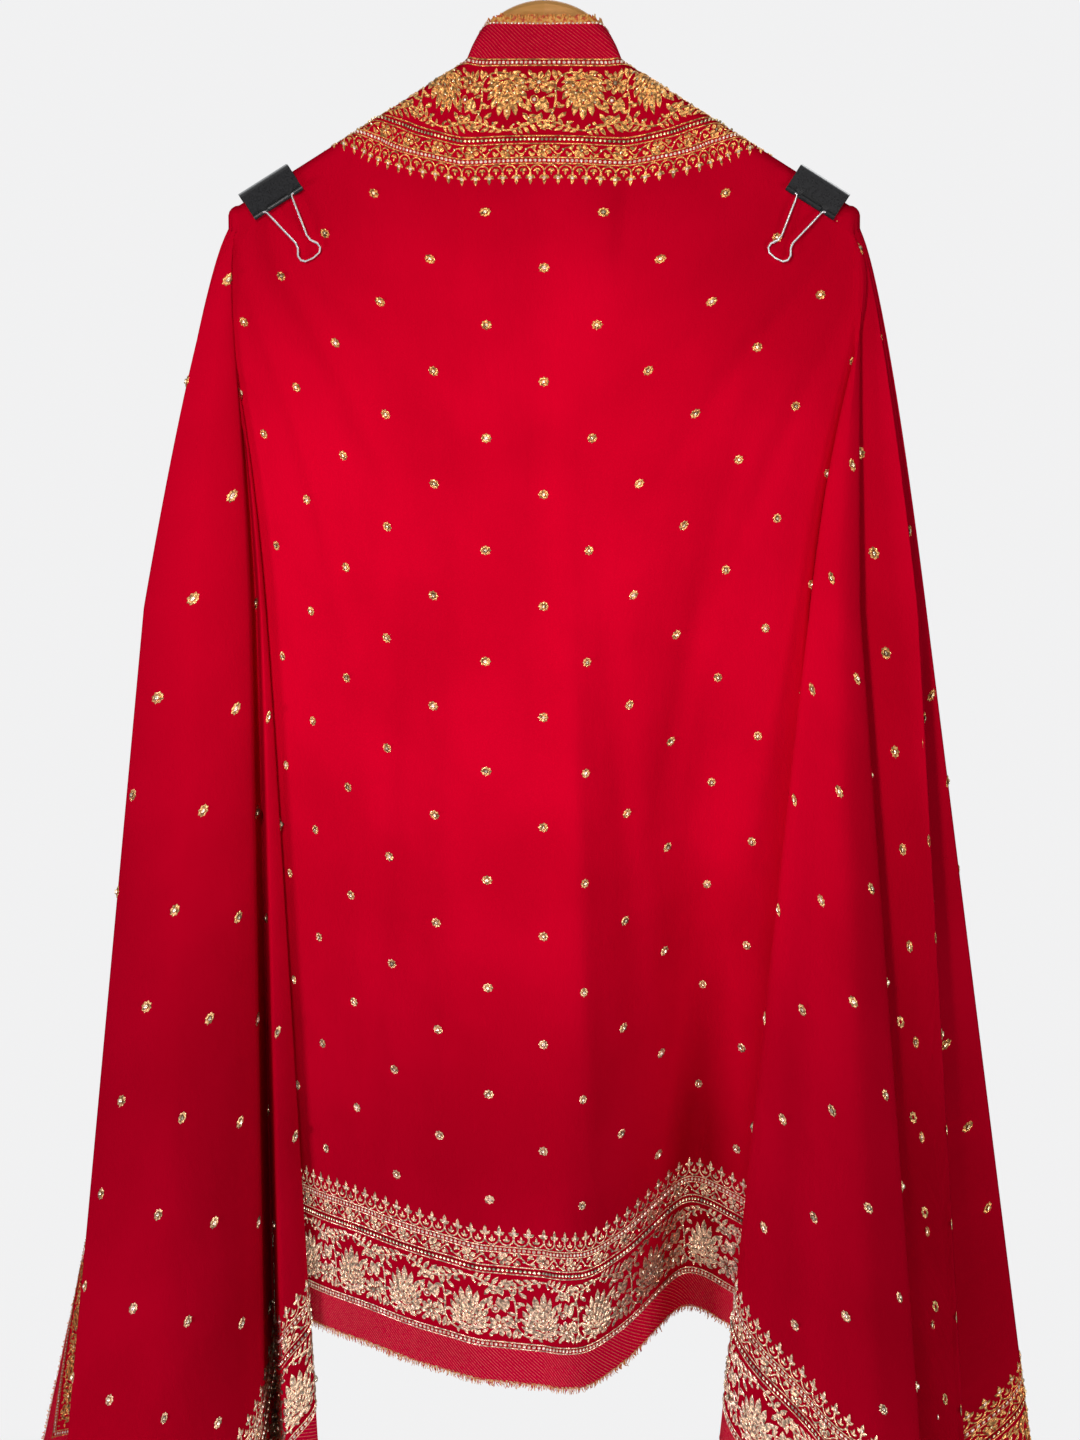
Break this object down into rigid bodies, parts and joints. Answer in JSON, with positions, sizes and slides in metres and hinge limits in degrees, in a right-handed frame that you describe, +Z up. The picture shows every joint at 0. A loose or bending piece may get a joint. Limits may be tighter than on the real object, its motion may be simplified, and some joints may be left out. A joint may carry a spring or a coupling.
{
  "type": "georgette dupatta on a wooden hanger with binder clips",
  "caption": "Long bordered georgette dupatta draped like a cape over a wooden clothes hanger and held at the shoulders by binder clips with folding wire handles.",
  "frame": {"origin": "top of the inside of the hanger's hook, where it hangs on its rail", "axes": "+X along the hanger, -Y out of the front of the cloth, +Z up along the hook's stem"},
  "size_m": [0.7748, 0.1728, 1.888],
  "materials": {
    "dupatta": "soft matte georgette",
    "hanger_wood": "clear varnish",
    "hanger_hook": "polished",
    "clip_steel": "black lacquer",
    "clip_wire": "polished"
  },
  "bodies": {
    "dupatta_on_hanger": {"dupatta": "dupatta", "hanger_wood": "hanger_wood", "hanger_hook": "hanger_hook", "clip_left_body": "clip_steel", "clip_right_body": "clip_steel"},
    "clip_left_front_handle": {"clip_left_front_handle": "clip_wire"},
    "clip_left_back_handle": {"clip_left_back_handle": "clip_wire"},
    "clip_right_front_handle": {"clip_right_front_handle": "clip_wire"},
    "clip_right_back_handle": {"clip_right_back_handle": "clip_wire"}
  },
  "joints": [
    {"name": "clip_left_front_handle_hinge", "type": "hinge", "parent": "dupatta_on_hanger", "child": "clip_left_front_handle", "pos_m": [-0.18696, -0.03704, -0.21407], "axis": [-0.841, -0.1173, -0.5282], "range_deg": [0, 170]},
    {"name": "clip_left_back_handle_hinge", "type": "hinge", "parent": "dupatta_on_hanger", "child": "clip_left_back_handle", "pos_m": [-0.18996, -0.01555, -0.21407], "axis": [0.841, 0.1173, 0.5282], "range_deg": [0, 165]},
    {"name": "clip_right_front_handle_hinge", "type": "hinge", "parent": "dupatta_on_hanger", "child": "clip_right_front_handle", "pos_m": [0.18696, -0.03704, -0.21407], "axis": [-0.841, 0.1173, 0.5282], "range_deg": [0, 170]},
    {"name": "clip_right_back_handle_hinge", "type": "hinge", "parent": "dupatta_on_hanger", "child": "clip_right_back_handle", "pos_m": [0.18996, -0.01555, -0.21407], "axis": [0.841, -0.1173, -0.5282], "range_deg": [0, 165]}
  ]
}
